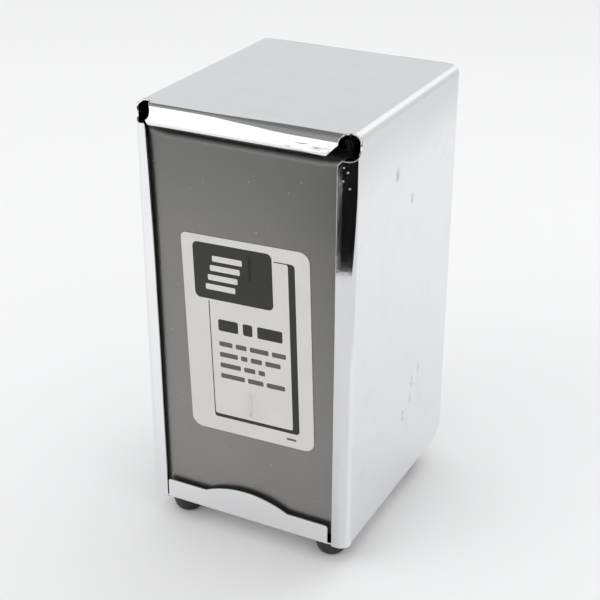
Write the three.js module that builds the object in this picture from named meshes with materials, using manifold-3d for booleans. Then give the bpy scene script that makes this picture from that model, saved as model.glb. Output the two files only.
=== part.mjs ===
// Tall-fold napkin dispenser: a plated sheet-steel box with a sprung follower behind its front opening.
//
// Frame: millimetres, +Z up, -Y is the front that napkins are pulled from, origin on the table under the
// middle of the box. BODY_Z lifts everything above the rubber feet, so the pieces below are written
// with z = 0 at the underside of the floor.

import * as THREE from "three";
import { mergeVertices } from "three/addons/utils/BufferGeometryUtils.js";
import Module from "manifold-3d";

const wasm = await Module();
wasm.setup();

// ---------- driving dimensions ----------

const WIDTH = 95.2;
const DEPTH = 105.8;
const HEIGHT = 180.8; // underside of the floor to the top panel
const SHEET = 0.8;
const STACK_GAP = 0.1; // between two sheets that lie on each other
const BODY_Z = 9.9; // height of the rubber feet

const TOP_BEND = 4.0; // outside radii of the shell's bends
const SIDE_LIP_BEND = 4.6;
const TOP_LIP_BEND = 2.2;
const TIGHT_BEND = 1.5;
const CHASSIS_REAR_BEND = 12;
const CHASSIS_FRONT_BEND = 1.4;

const SIDE_LIP = 7.0; // how far each side lip reaches in from the outside
const TOP_LIP = 8.5; // how far the top lip hangs down
const LIP_SLANT = 1.3; // how much wider the left lip is at its foot than at its top
const LIP_BOTTOM = 0.1; // the side lips hang down over the edge of the floor
const LIP_FOOT_DEPTH = 6; // how far back from the front the shell hangs down like this

// The hole where top, side and front meet: the direction its axis points out, where that axis meets the
// front (in from the side, down from the top), its radius, and how far it reaches in from there.
const CORNER_RELIEFS = {
  left: { side: -1, outward: [0, -1, 0], inFromSide: 3.4, down: 3.5, radius: 5.2, reach: 4.7 },
  right: { side: 1, outward: [1, -1, 1], inFromSide: 0.5, down: 2.5, radius: 5.0, reach: 12 },
};
const BOTTOM_FLANGE = 17;
const REAR_FLANGE = 10;

const HUMP_HALF_CHORD = 19.6; // the raised middle of the front lip
const HUMP_RISE = 4.6;
const FRONT_LIP_HEIGHT = 9.6;
const FRONT_LIP_HALF = 38.8;
const FRONT_LIP_CORNER = 1.2;

const FOLLOWER_HALF_WIDTH = 45.2;
const FOLLOWER_BOTTOM = 3.8;
const FOLLOWER_TOP = 171.1;
const FOLLOWER_FLANGE = 10;
const FOLLOWER_TOP_BEND = 4.8;
const FOLLOWER_BEND = 1.3;
const FOLLOWER_TOP_HALF = 42.3; // the top flange is shorter than the face is wide
const FOLLOWER_NOTCH = 0.6; // how far the corner notches cut into the face
const FOLLOWER_CLEARANCE = 1.6; // behind the lips

const LABEL = { width: 57.5, height: 88.6, thickness: 0.2, corner: 4.6, x: 1.3, z: 86.2, tilt: -1.4 };

const WIRE = 0.65; // radius of the spring wire
const SPRING_LARGE = 26; // coil radius at the back
const SPRING_SMALL = 11; // coil radius at the follower
const SPRING_COILS = 8;
const SPRING_BACK_FLAT = 0.64; // turns that lie flat on the back wall, under the clips
const SPRING_FRONT_FLAT = 0.8; // turns that lie flat on the follower
const SPRING_START = -Math.PI / 6; // where the wire begins, just before the right-hand clip
const SPRING_LEG_START = Math.PI / 3.2; // where the last coil turns in towards the middle
const SPRING_HEIGHTS = { upper: 119, lower: 57.3 };

// The end of the wire is threaded through two slots in the follower, and lies in front of it between them.
const LEG = { x: 1.9, front: 2.3, back: 5.5, tip: 6.9 }; // heights are above and below the spring's centre
const LEG_SLOT = { halfWidth: 1.0, from: 1.8, to: 6.3 };

const FOOT = { x: 35.5, frontY: -41.5, rearY: 32, topRadius: 8.3, bore: 2.3, recess: 3.5, shoulder: 3.6 };
const FOOT_HOLE = 2.2;
const REAR_RIVET_HOLE = 1.8;
const REAR_RIVETS = [
  ["rear_rivet_left_lower", -42.6, 36],
  ["rear_rivet_right_lower", 42.6, 36],
  ["rear_rivet_left_upper", -42.6, 148],
  ["rear_rivet_right_upper", 42.6, 148],
  ["rear_rivet_top_left", -22, 176],
  ["rear_rivet_top_right", 22, 176],
];
const CLIP = { tip: 24.4, riser: 28.6, end: 36, rivet: 32.2, halfHeight: 4 };

// Worked out from the above.
const HALF_W = WIDTH / 2;
const FRONT_Y = -DEPTH / 2;
const REAR_Y = DEPTH / 2;
const SHELL_BOTTOM = SHEET + STACK_GAP;
const SHELL_REAR_Y = REAR_Y - SHEET - STACK_GAP;
const CHASSIS_HALF_W = HALF_W - 1.0;
const CHASSIS_CORNER_Y = FRONT_Y + 1.0; // beside its front lip, the floor stops behind the side lips
const FOLLOWER_FRONT_Y = FRONT_Y + SHEET + FOLLOWER_CLEARANCE;
const BACK_WALL_Y = REAR_Y - SHEET; // inner face of the back wall
const WIRE_BACK_Y = BACK_WALL_Y - STACK_GAP - WIRE;
const WIRE_FRONT_Y = FOLLOWER_FRONT_Y + SHEET + STACK_GAP + WIRE;
const LEG_Y = FOLLOWER_FRONT_Y - STACK_GAP - WIRE; // the length of wire in front of the follower
const FAR = 200; // past the object on every side
const ARC_STEP = Math.PI / 12;

// ---------- solids ----------

function solidOf(geometry) {
  const bare = geometry.clone();
  bare.deleteAttribute("normal");
  bare.deleteAttribute("uv");
  const merged = mergeVertices(bare, 1e-4);
  return new wasm.Manifold(
    new wasm.Mesh({
      numProp: 3,
      vertProperties: new Float32Array(merged.attributes.position.array),
      triVerts: new Uint32Array(merged.index.array),
    }),
  );
}

function geometryOf(solid) {
  const mesh = solid.getMesh();
  const geometry = new THREE.BufferGeometry();
  geometry.setAttribute("position", new THREE.BufferAttribute(mesh.vertProperties, 3));
  geometry.setIndex(new THREE.BufferAttribute(mesh.triVerts, 1));
  geometry.computeVertexNormals();
  return geometry;
}

// Points along an arc, both ends included.
function arc(centreX, centreY, radius, from, to, steps = Math.ceil(Math.abs(to - from) / ARC_STEP)) {
  return Array.from({ length: steps + 1 }, (_, i) => {
    const angle = THREE.MathUtils.lerp(from, to, i / steps);
    return new THREE.Vector2(centreX + radius * Math.cos(angle), centreY + radius * Math.sin(angle));
  });
}

// The arc that rounds a corner between its two neighbours.
function roundedCorner(corner, before, after, radius) {
  const u = before.clone().sub(corner).normalize();
  const v = after.clone().sub(corner).normalize();
  const half = Math.acos(u.dot(v)) / 2;
  const centre = u.clone().add(v).setLength(radius / Math.sin(half)).add(corner);
  const start = u.clone().multiplyScalar(radius / Math.tan(half)).add(corner).sub(centre);
  const turn = (Math.PI - 2 * half) * -Math.sign(u.cross(v));
  return arc(centre.x, centre.y, radius, start.angle(), start.angle() + turn);
}

// A closed outline from corners [x, y, radius]; the radius rounds that corner.
function outline(corners) {
  const points = corners.map(([x, y]) => new THREE.Vector2(x, y));
  const last = points.length - 1;
  return new THREE.Shape(
    corners.flatMap(([, , radius], i) => {
      if (!radius) return [points[i]];
      return roundedCorner(points[i], points[i ? i - 1 : last], points[i < last ? i + 1 : 0], radius);
    }),
  );
}

// Where a flat outline's own x, y and depth point, for each direction it can be pushed along.
const PLANES = {
  x: [new THREE.Vector3(0, 1, 0), new THREE.Vector3(0, 0, 1), new THREE.Vector3(1, 0, 0)],
  y: [new THREE.Vector3(1, 0, 0), new THREE.Vector3(0, 0, 1), new THREE.Vector3(0, -1, 0)],
  z: [new THREE.Vector3(1, 0, 0), new THREE.Vector3(0, 1, 0), new THREE.Vector3(0, 0, 1)],
};

// The solid that an outline sweeps from one place to another along an axis.
function prism(axis, shape, from, to) {
  const geometry = new THREE.ExtrudeGeometry(shape, { depth: to - from, bevelEnabled: false });
  geometry.applyMatrix4(new THREE.Matrix4().makeBasis(...PLANES[axis]));
  const start = new THREE.Vector3();
  start[axis] = axis === "y" ? to : from;
  geometry.translate(start.x, start.y, start.z);
  return solidOf(geometry);
}

function block(x0, x1, y0, y1, z0, z1) {
  const geometry = new THREE.BoxGeometry(x1 - x0, y1 - y0, z1 - z0);
  geometry.translate((x0 + x1) / 2, (y0 + y1) / 2, (z0 + z1) / 2);
  return solidOf(geometry);
}

// A solid of revolution about +Z (or about +Y, with the profile's height along Y).
function turned(profile, axis = "z", segments = 16) {
  const geometry = new THREE.LatheGeometry(profile.map(([r, h]) => new THREE.Vector2(r, h)), segments);
  if (axis === "z") geometry.rotateX(Math.PI / 2);
  return geometry;
}

function rod(axis, radius, from, to, place) {
  const geometry = new THREE.CylinderGeometry(radius, radius, to - from, 16);
  if (axis === "z") geometry.rotateX(Math.PI / 2);
  const middle = new THREE.Vector3(...place);
  middle[axis] = (from + to) / 2;
  geometry.translate(middle.x, middle.y, middle.z);
  return solidOf(geometry);
}

const cutAll = (solid, cutters) => cutters.reduce((left, cutter) => left.subtract(cutter), solid);

// ---------- materials ----------

const chrome = new THREE.MeshStandardMaterial({ color: 0xe4e6e8, roughness: 0.08, metalness: 1 });
const greySteel = new THREE.MeshStandardMaterial({ color: 0x84827f, roughness: 0.42, metalness: 0.6 });
const paper = new THREE.MeshStandardMaterial({ color: 0xdedcd8, roughness: 0.6, metalness: 0 });
const rubber = new THREE.MeshStandardMaterial({ color: 0x1b1b1c, roughness: 0.7, metalness: 0 });
const springSteel = new THREE.MeshStandardMaterial({ color: 0x9a9a9c, roughness: 0.3, metalness: 1 });
const zinc = new THREE.MeshStandardMaterial({ color: 0xb9bcc0, roughness: 0.35, metalness: 1 });

const dispenser = new THREE.Group();
const body = new THREE.Group();
body.position.z = BODY_Z;
dispenser.add(body);

function addPiece(name, geometry, material, parent = body) {
  const mesh = new THREE.Mesh(geometry, material);
  mesh.name = name;
  parent.add(mesh);
  return mesh;
}

// ---------- shell: top, two sides and the lips round the front opening, from one sheet ----------

const footPlaces = [
  ["front_left", -FOOT.x, FOOT.frontY],
  ["front_right", FOOT.x, FOOT.frontY],
  ["rear_left", -FOOT.x, FOOT.rearY],
  ["rear_right", FOOT.x, FOOT.rearY],
];

// The shell's bends seen from above, shrunk by the inset.
function boxPlan(inset) {
  const x = HALF_W - inset;
  const front = FRONT_Y + inset;
  const rear = SHELL_REAR_Y - inset;
  return outline([
    [-x, front, SIDE_LIP_BEND - inset],
    [x, front, SIDE_LIP_BEND - inset],
    [x, rear, TIGHT_BEND - inset],
    [-x, rear, TIGHT_BEND - inset],
  ]);
}

// A box with the shell's bends, shrunk on every face by the inset.
function bentBox(inset) {
  const x = HALF_W - inset;
  const front = FRONT_Y + inset;
  const rear = SHELL_REAR_Y - inset;
  const bottom = SHELL_BOTTOM + inset;
  const top = HEIGHT - inset;
  const tight = TIGHT_BEND - inset;
  const rearCorner = CHASSIS_REAR_BEND - SHEET - STACK_GAP - inset;
  const elevation = outline([
    [-x, bottom, tight],
    [x, bottom, tight],
    [x, top, TOP_BEND - inset],
    [-x, top, TOP_BEND - inset],
  ]);
  const profile = outline([
    [front, bottom],
    [rear, bottom, rearCorner],
    [rear, top, tight],
    [front, top, TOP_LIP_BEND - inset],
  ]);
  return prism("y", elevation, -FAR, FAR)
    .intersect(prism("z", boxPlan(inset), -FAR, FAR))
    .intersect(prism("x", profile, -FAR, FAR));
}

// The opening between the lips. Its top corners run into the round reliefs along a slanted slot,
// which is wider on the right, where the top lip stops short.
function frontOpening() {
  const lipX = HALF_W - SIDE_LIP;
  const lipZ = HEIGHT - TOP_LIP;
  return outline([
    [-lipX + LIP_SLANT, -FAR],
    [lipX, -FAR],
    [lipX, lipZ - 3.4],
    [lipX + 1.9, lipZ - 0.7],
    [HALF_W - 3.6, lipZ + 1.2],
    [HALF_W - 4.6, HEIGHT - 3.8],
    [lipX - 0.7, lipZ + 3.9],
    [lipX - 4, lipZ],
    [-lipX + 1.2, lipZ],
    [-lipX + 0.1, lipZ + 2.9],
    [-HALF_W + 5.6, HEIGHT - 2.8],
    [-HALF_W + 2.6, HEIGHT - 5.8],
    [-lipX - 2.7, lipZ + 0.5],
    [-lipX - 0.5, lipZ - 0.9],
    [-lipX, lipZ - 2.5],
    [-lipX + LIP_SLANT, 0],
  ]);
}

// The opening between the rear flanges. It keeps clear of the corners, so the flanges fold separately.
function rearOpening() {
  const x = HALF_W - REAR_FLANGE;
  const z = HEIGHT - REAR_FLANGE;
  const notch = 3;
  return outline([
    [-FAR, -FAR],
    [FAR, -FAR],
    [FAR, 16],
    [x, 16],
    [x, z - notch],
    [FAR, z - notch],
    [FAR, HEIGHT - TOP_BEND],
    [x, HEIGHT - TOP_BEND],
    [x, z],
    [-x, z],
    [-x, HEIGHT - TOP_BEND],
    [-FAR, HEIGHT - TOP_BEND],
    [-FAR, z - notch],
    [-x, z - notch],
    [-x, 16],
    [-FAR, 16],
  ]);
}

// What the hole in a corner takes away: a round bar with a domed inner end.
function cornerRelief({ side, outward, inFromSide, down, radius, reach }) {
  const dome = arc(0, 0, 1, -Math.PI / 2, 0, 6).map((p) => [radius * p.x, -reach * (0.6 - 0.4 * p.y)]);
  const geometry = turned([...dome, [radius, reach + 6], [0, reach + 6]], "y", 32);
  const direction = new THREE.Vector3(...outward).normalize();
  geometry.applyQuaternion(new THREE.Quaternion().setFromUnitVectors(new THREE.Vector3(0, 1, 0), direction));
  geometry.translate(side * (HALF_W - inFromSide), FRONT_Y, HEIGHT - down);
  return solidOf(geometry);
}

function makeShell() {
  const wallX = HALF_W - SHEET;
  const innerFlangeX = HALF_W - BOTTOM_FLANGE;
  const rearBendY = REAR_Y - CHASSIS_REAR_BEND;
  const lipFeet = block(-FAR, FAR, -FAR, FRONT_Y + LIP_FOOT_DEPTH, LIP_BOTTOM, SHELL_BOTTOM + TIGHT_BEND);
  const outside = bentBox(0).add(prism("z", boxPlan(0), -FAR, FAR).intersect(lipFeet));
  return cutAll(outside, [
    bentBox(SHEET),
    prism("z", boxPlan(SHEET), -FAR, FAR).intersect(lipFeet),
    prism("y", frontOpening(), -FAR, FRONT_Y + SIDE_LIP_BEND),
    prism("y", rearOpening(), SHELL_REAR_Y - TIGHT_BEND, FAR),
    block(-innerFlangeX, innerFlangeX, FRONT_Y + SHEET, FAR, -FAR, SHELL_BOTTOM + TIGHT_BEND),
    block(-wallX, wallX, rearBendY - 2, FAR, -FAR, CHASSIS_REAR_BEND + 3),
    ...Object.values(CORNER_RELIEFS).map(cornerRelief),
    ...footPlaces.map(([, x, y]) => rod("z", FOOT_HOLE, -FAR, SHELL_BOTTOM + 2 * SHEET, [x, y, 0])),
    ...REAR_RIVETS.map(([, x, z]) => rod("y", REAR_RIVET_HOLE, SHELL_REAR_Y - 3, FAR, [x, 0, z])),
  ]);
}

// ---------- chassis: the front lip, floor and back wall, from one sheet ----------

// Everything above the front lip: its two low shoulders and the arched hump between them.
function aboveFrontLip() {
  const lip = FRONT_LIP_HALF;
  const corner = FRONT_LIP_CORNER;
  const clear = SHEET + 0.05;
  const radius = (HUMP_HALF_CHORD ** 2 + HUMP_RISE ** 2) / (2 * HUMP_RISE);
  const swing = Math.asin(HUMP_HALF_CHORD / radius);
  const up = Math.PI / 2;
  return new THREE.Shape([
    new THREE.Vector2(-FAR, clear),
    new THREE.Vector2(-lip, clear),
    ...arc(-lip + corner, FRONT_LIP_HEIGHT - corner, corner, Math.PI, up, 4),
    ...arc(0, FRONT_LIP_HEIGHT + HUMP_RISE - radius, radius, up + swing, up - swing, 14),
    ...arc(lip - corner, FRONT_LIP_HEIGHT - corner, corner, up, 0, 4),
    new THREE.Vector2(lip, clear),
    new THREE.Vector2(FAR, clear),
    new THREE.Vector2(FAR, FAR),
    new THREE.Vector2(-FAR, FAR),
  ]);
}

function makeChassis() {
  const tall = FRONT_LIP_HEIGHT + HUMP_RISE + 5;
  const top = HEIGHT - 0.4;
  const strip = outline([
    [FRONT_Y, tall],
    [FRONT_Y, 0, CHASSIS_FRONT_BEND],
    [REAR_Y, 0, CHASSIS_REAR_BEND],
    [REAR_Y, top],
    [REAR_Y - SHEET, top],
    [REAR_Y - SHEET, SHEET, CHASSIS_REAR_BEND - SHEET],
    [FRONT_Y + SHEET, SHEET, CHASSIS_FRONT_BEND - SHEET],
    [FRONT_Y + SHEET, tall],
  ]);
  const plan = outline([
    [-CHASSIS_HALF_W, CHASSIS_CORNER_Y, SIDE_LIP_BEND - 1],
    [-FRONT_LIP_HALF, CHASSIS_CORNER_Y],
    [-FRONT_LIP_HALF, FRONT_Y],
    [FRONT_LIP_HALF, FRONT_Y],
    [FRONT_LIP_HALF, CHASSIS_CORNER_Y],
    [CHASSIS_HALF_W, CHASSIS_CORNER_Y, SIDE_LIP_BEND - 1],
    [CHASSIS_HALF_W, FAR],
    [-CHASSIS_HALF_W, FAR],
  ]);
  const elevation = outline([
    [-CHASSIS_HALF_W, -FAR],
    [CHASSIS_HALF_W, -FAR],
    [CHASSIS_HALF_W, top, TOP_BEND],
    [-CHASSIS_HALF_W, top, TOP_BEND],
  ]);
  const whole = prism("x", strip, -CHASSIS_HALF_W, CHASSIS_HALF_W)
    .intersect(prism("z", plan, -FAR, FAR))
    .intersect(prism("y", elevation, -FAR, FAR));
  return cutAll(whole, [
    prism("y", aboveFrontLip(), -FAR, FRONT_Y + 2 * SHEET),
    ...footPlaces.map(([, x, y]) => rod("z", FOOT_HOLE, -1, 2 * SHEET, [x, y, 0])),
    ...rearRivetPlaces().map(([, x, z]) => rod("y", REAR_RIVET_HOLE, REAR_Y - 3, FAR, [x, 0, z])),
  ]);
}

// ---------- follower: the plate that pushes the napkins forward, flanged back on all four sides ----------

function followerBox(inset, rear) {
  const x = FOLLOWER_HALF_WIDTH - inset;
  const front = FOLLOWER_FRONT_Y + inset;
  const bottom = FOLLOWER_BOTTOM + inset;
  const top = FOLLOWER_TOP - inset;
  const plan = outline([
    [-x, front, FOLLOWER_BEND - inset],
    [x, front, FOLLOWER_BEND - inset],
    [x, rear],
    [-x, rear],
  ]);
  const profile = outline([
    [front, bottom, FOLLOWER_BEND - inset],
    [rear, bottom],
    [rear, top],
    [front, top, FOLLOWER_TOP_BEND - inset],
  ]);
  return prism("z", plan, bottom, top).intersect(prism("x", profile, -x, x));
}

// Everything between two heights that is further than a half width from the middle.
function beyond(halfWidth, z0, z1) {
  return block(-FAR, FAR, -FAR, FAR, z0, z1).subtract(block(-halfWidth, halfWidth, -FAR, FAR, -FAR, FAR));
}

function makeFollower() {
  const rear = FOLLOWER_FRONT_Y + FOLLOWER_FLANGE;
  const pan = followerBox(0, rear).subtract(followerBox(SHEET, rear + SHEET));
  const slots = Object.values(SPRING_HEIGHTS).flatMap((z) =>
    [-1, 1].map((end) => {
      const middle = z + (end * (LEG_SLOT.from + LEG_SLOT.to)) / 2;
      const half = (LEG_SLOT.to - LEG_SLOT.from) / 2;
      return block(
        LEG.x - LEG_SLOT.halfWidth,
        LEG.x + LEG_SLOT.halfWidth,
        FOLLOWER_FRONT_Y - 1,
        FOLLOWER_FRONT_Y + 2 * SHEET,
        middle - half,
        middle + half,
      );
    }),
  );
  const topNotches = beyond(FOLLOWER_TOP_HALF, FOLLOWER_TOP - FOLLOWER_TOP_BEND - FOLLOWER_NOTCH, FAR);
  const footHalf = FOLLOWER_HALF_WIDTH - FOLLOWER_BEND - FOLLOWER_NOTCH;
  const footNotches = beyond(footHalf, -FAR, FOLLOWER_BOTTOM + FOLLOWER_BEND + FOLLOWER_NOTCH);
  return cutAll(pan, [...slots, topNotches, footNotches]);
}

// ---------- refill label: paper stuck to the follower, raised where the wire passes under it ----------

function capsule(radius, z, halfLength) {
  const geometry = new THREE.CapsuleGeometry(radius, 2 * halfLength, 3, 10);
  geometry.rotateX(Math.PI / 2);
  geometry.translate(LEG.x, LEG_Y, z);
  return solidOf(geometry);
}

function makeLabel() {
  const { width, height, thickness, corner } = LABEL;
  const back = FOLLOWER_FRONT_Y - STACK_GAP;
  const sheet = outline([
    [-width / 2, -height / 2, corner],
    [width / 2, -height / 2, corner],
    [width / 2, height / 2, corner],
    [-width / 2, height / 2, corner],
  ]);
  const flat = prism("y", sheet, back - thickness, back)
    .rotate([0, LABEL.tilt, 0])
    .translate([LABEL.x, 0, LABEL.z]);
  const inner = WIRE + 0.15;
  const straight = LEG_SLOT.to - 0.6 - inner;
  return Object.values(SPRING_HEIGHTS).reduce(
    (paperSheet, z) =>
      paperSheet
        .add(capsule(inner + thickness, z, straight).trimByPlane([0, -1, 0], -back))
        .subtract(capsule(inner, z, straight))
        .subtract(block(LEG.x - inner, LEG.x + inner, LEG_Y, back + 1, z - straight, z + straight)),
    flat,
  );
}

// ---------- springs: conical, so that they telescope nearly flat ----------

function springPath() {
  const total = 2 * Math.PI * SPRING_COILS + SPRING_LEG_START - SPRING_START;
  const backFlat = 2 * Math.PI * SPRING_BACK_FLAT;
  const frontFlat = 2 * Math.PI * SPRING_FRONT_FLAT;
  const steps = Math.round(total / (Math.PI / 9));
  const points = [];
  for (let i = 0; i <= steps; i++) {
    const swept = (total * i) / steps;
    const share = THREE.MathUtils.clamp((swept - backFlat) / (total - backFlat - frontFlat), 0, 1);
    const radius = THREE.MathUtils.lerp(SPRING_LARGE, SPRING_SMALL, share);
    const angle = SPRING_START + swept;
    const y = THREE.MathUtils.lerp(WIRE_BACK_Y, WIRE_FRONT_Y, share);
    points.push(new THREE.Vector3(radius * Math.cos(angle), y, radius * Math.sin(angle)));
  }
  points.push(
    new THREE.Vector3(LEG.x + 1.9, WIRE_FRONT_Y, SPRING_SMALL * 0.95),
    new THREE.Vector3(LEG.x + 0.3, WIRE_FRONT_Y, SPRING_SMALL * 0.78),
    ...[-1, 1].flatMap((end) => {
      const dive = [
        [WIRE_FRONT_Y + 0.2, LEG.tip],
        [WIRE_FRONT_Y + 0.2, LEG.back],
        [(WIRE_FRONT_Y + LEG_Y) / 2, (LEG.back + LEG.front) / 2],
        [LEG_Y, LEG.front],
        [LEG_Y, LEG.front / 2],
      ].map(([y, z]) => new THREE.Vector3(LEG.x, y, -end * z));
      return end < 0 ? dive : dive.reverse();
    }),
  );
  return new THREE.CatmullRomCurve3(points);
}

function springGeometry() {
  const section = new THREE.Shape();
  section.absarc(0, 0, WIRE, 0, 2 * Math.PI);
  return new THREE.ExtrudeGeometry(section, {
    steps: 190,
    curveSegments: 3,
    bevelEnabled: false,
    extrudePath: springPath(),
  });
}

// ---------- clips that hold each spring's last coil to the back wall ----------

function clipShape() {
  const wall = BACK_WALL_Y - STACK_GAP;
  const lip = WIRE_BACK_Y - WIRE - STACK_GAP;
  return outline([
    [CLIP.end, wall],
    [CLIP.riser - SHEET, wall],
    [CLIP.riser - SHEET, lip],
    [CLIP.tip, lip],
    [CLIP.tip, lip - SHEET],
    [CLIP.riser, lip - SHEET],
    [CLIP.riser, wall - SHEET],
    [CLIP.end, wall - SHEET],
  ].reverse());
}

function makeClip(side) {
  const right = prism("z", clipShape(), -CLIP.halfHeight, CLIP.halfHeight).subtract(
    rod("y", REAR_RIVET_HOLE, BACK_WALL_Y - 4, FAR, [CLIP.rivet, 0, 0]),
  );
  return side < 0 ? right.rotate([0, 180, 0]) : right;
}

const clipPlaces = Object.entries(SPRING_HEIGHTS).flatMap(([level, z]) => [
  [`spring_clip_${level}_left`, -1, z],
  [`spring_clip_${level}_right`, 1, z],
]);

function rearRivetPlaces() {
  const clipRivets = clipPlaces.map(([name, side, z]) => [`${name}_rivet`, side * CLIP.rivet, z]);
  return [...REAR_RIVETS, ...clipRivets];
}

// ---------- fasteners and feet ----------

// A rivet lying along Y through the back wall and the sheet in front of it.
function rearRivetGeometry() {
  const outer = REAR_Y + 0.05;
  const inner = BACK_WALL_Y - 2 * STACK_GAP - SHEET - 0.05;
  return turned(
    [
      [0, inner - 0.9],
      [2.4, inner - 0.7],
      [2.7, inner],
      [1.6, inner],
      [1.6, outer],
      [3.1, outer],
      [2.8, outer + 0.5],
      [1.7, outer + 0.85],
      [0, outer + 0.95],
    ],
    "y",
    12,
  );
}

// A rivet standing up through a foot, the floor and the shell's bottom flange.
function footRivetGeometry() {
  const shoulder = -FOOT.shoulder - 0.05;
  const flangeTop = SHELL_BOTTOM + SHEET + 0.05;
  return turned(
    [
      [0, shoulder - 1.3],
      [2.4, shoulder - 1.1],
      [3.1, shoulder - 0.5],
      [3.1, shoulder],
      [2.0, shoulder],
      [2.0, flangeTop],
      [3.2, flangeTop],
      [3.0, flangeTop + 0.6],
      [2.2, flangeTop + 0.9],
      [0, flangeTop + 1.0],
    ],
    "z",
    12,
  );
}

function footGeometry() {
  const top = -0.05;
  const bottom = -BODY_Z;
  return turned(
    [
      [FOOT.bore, top],
      [FOOT.bore, -FOOT.shoulder],
      [FOOT.recess, -FOOT.shoulder],
      [FOOT.recess, bottom],
      [4.5, bottom],
      [5.7, bottom + 1.2],
      [6.5, bottom + 3.5],
      [FOOT.topRadius, top - 1.0],
      [FOOT.topRadius - 0.3, top],
      [FOOT.bore, top],
    ],
    "z",
    20,
  );
}

// ---------- assembly ----------

addPiece("shell", geometryOf(makeShell()), chrome);
addPiece("chassis", geometryOf(makeChassis()), chrome);
addPiece("follower_plate", geometryOf(makeFollower()), greySteel);
addPiece("refill_label", geometryOf(makeLabel()), paper);

for (const [level, z] of Object.entries(SPRING_HEIGHTS)) {
  addPiece(`spring_${level}`, springGeometry(), springSteel).position.z = z;
}
for (const [name, side, z] of clipPlaces) {
  addPiece(name, geometryOf(makeClip(side)), zinc).position.z = z;
}
for (const [name, x, z] of rearRivetPlaces()) {
  addPiece(name, rearRivetGeometry(), zinc).position.set(x, 0, z);
}
for (const [place, x, y] of footPlaces) {
  addPiece(`foot_${place}`, footGeometry(), rubber).position.set(x, y, 0);
  addPiece(`foot_rivet_${place}`, footRivetGeometry(), zinc).position.set(x, y, 0);
}

export default dispenser;
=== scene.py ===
"""Looks for the tall-fold napkin dispenser: plated sheet, a grey follower with a label, springs and feet.

Lengths are in millimetres until a mesh is made, and in metres after that.
"""

import math

import bpy
import numpy as np
from mathutils import Matrix, Vector, geometry


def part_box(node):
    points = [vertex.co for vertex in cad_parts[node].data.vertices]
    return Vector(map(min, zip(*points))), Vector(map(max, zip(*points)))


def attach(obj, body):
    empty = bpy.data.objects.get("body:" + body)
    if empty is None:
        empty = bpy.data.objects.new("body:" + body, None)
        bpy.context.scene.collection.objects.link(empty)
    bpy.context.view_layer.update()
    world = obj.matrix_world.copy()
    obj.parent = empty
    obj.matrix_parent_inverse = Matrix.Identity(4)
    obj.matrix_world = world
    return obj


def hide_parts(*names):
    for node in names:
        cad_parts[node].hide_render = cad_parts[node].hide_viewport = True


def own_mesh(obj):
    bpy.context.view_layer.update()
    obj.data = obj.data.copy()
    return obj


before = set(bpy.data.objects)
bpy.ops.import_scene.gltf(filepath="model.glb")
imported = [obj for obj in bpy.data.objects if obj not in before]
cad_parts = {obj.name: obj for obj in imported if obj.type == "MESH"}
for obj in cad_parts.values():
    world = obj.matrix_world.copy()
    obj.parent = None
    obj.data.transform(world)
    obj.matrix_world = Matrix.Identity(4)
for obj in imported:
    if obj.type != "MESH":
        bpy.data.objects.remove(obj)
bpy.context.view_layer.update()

MM = 0.001
HALF_PI = math.pi / 2


def node_box(node):
    """Lowest and highest corner of a CAD node, in millimetres."""
    low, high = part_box(node)
    return low / MM, high / MM


def middle_height(node):
    return sum(corner.z for corner in node_box(node)) / 2


# --- sizes read from the CAD ---

shell_low, shell_high = node_box("shell")
chassis_low, chassis_high = node_box("chassis")
follower_low, follower_high = node_box("follower_plate")

HALF_W = shell_high.x
FRONT = shell_low.y
TOP = shell_high.z
SHELL_REAR = shell_high.y
SHELL_BOTTOM = shell_low.z
CHASSIS_HALF_W = chassis_high.x
REAR = chassis_high.y
FLOOR = chassis_low.z
FOLLOWER_HALF_W = follower_high.x
FOLLOWER_FRONT = follower_low.y
FOLLOWER_BOTTOM = follower_low.z
FOLLOWER_TOP = follower_high.z
SPRING_HEIGHTS = {level: middle_height(f"spring_clip_{level}_left") for level in ("upper", "lower")}

# --- sizes of the folded sheets ---

SHEET = 0.8
EDGE = 0.22  # rounding of the cut edges
TOP_BEND = 4.0
TOP_LIP_BEND = {"left": 1.1, "right": 3.0}
TOP_LIP_OPENS = {"from": -22, "over": 50}  # where across the top its front bend opens out
LIP_LEAN = math.tan(math.radians(18))  # how far the top lip leans out from upright
LEAN_START = 1.2  # how gently the lean begins
SIDE_LIP_BEND = 4.6
TIGHT_BEND = 1.5
SIDE_LIP = 7.0
TOP_LIP = 8.5
HEM = {"width": 1.7, "radius": 1.2}  # the lower edge of the top lip curls in
BOTTOM_FLANGE = 17
REAR_FLANGE = 10
REAR_FLANGE_FOOT = 16  # where the side flanges of the rear start above the floor
REAR_FLANGE_GAP = 3  # between the rear's side flanges and its top flange
CHASSIS_REAR_BEND = 12
CHASSIS_FRONT_BEND = 1.4
WALL_CORNER = 4  # radius of the back wall's upper corners
FRONT_LIP = {"half": 38.8, "height": 9.6, "corner": 1.2, "hump_half": 19.6, "hump_rise": 4.6}
# The round hole at each upper front corner, right (1) and left (-1): which way its axis points, where that
# axis meets the front, and how far the hole reaches along its axis and back along the side.
RELIEF = {
    1: {"axis": (1, -1, 1), "in": 0.5, "down": 2.5, "radius": 5.0, "reach": 20, "side_reach": 20},
    -1: {"axis": (0, -1, 0), "in": 3.4, "down": 3.5, "radius": 5.2, "reach": 4.7, "side_reach": 2.4},
}
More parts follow.
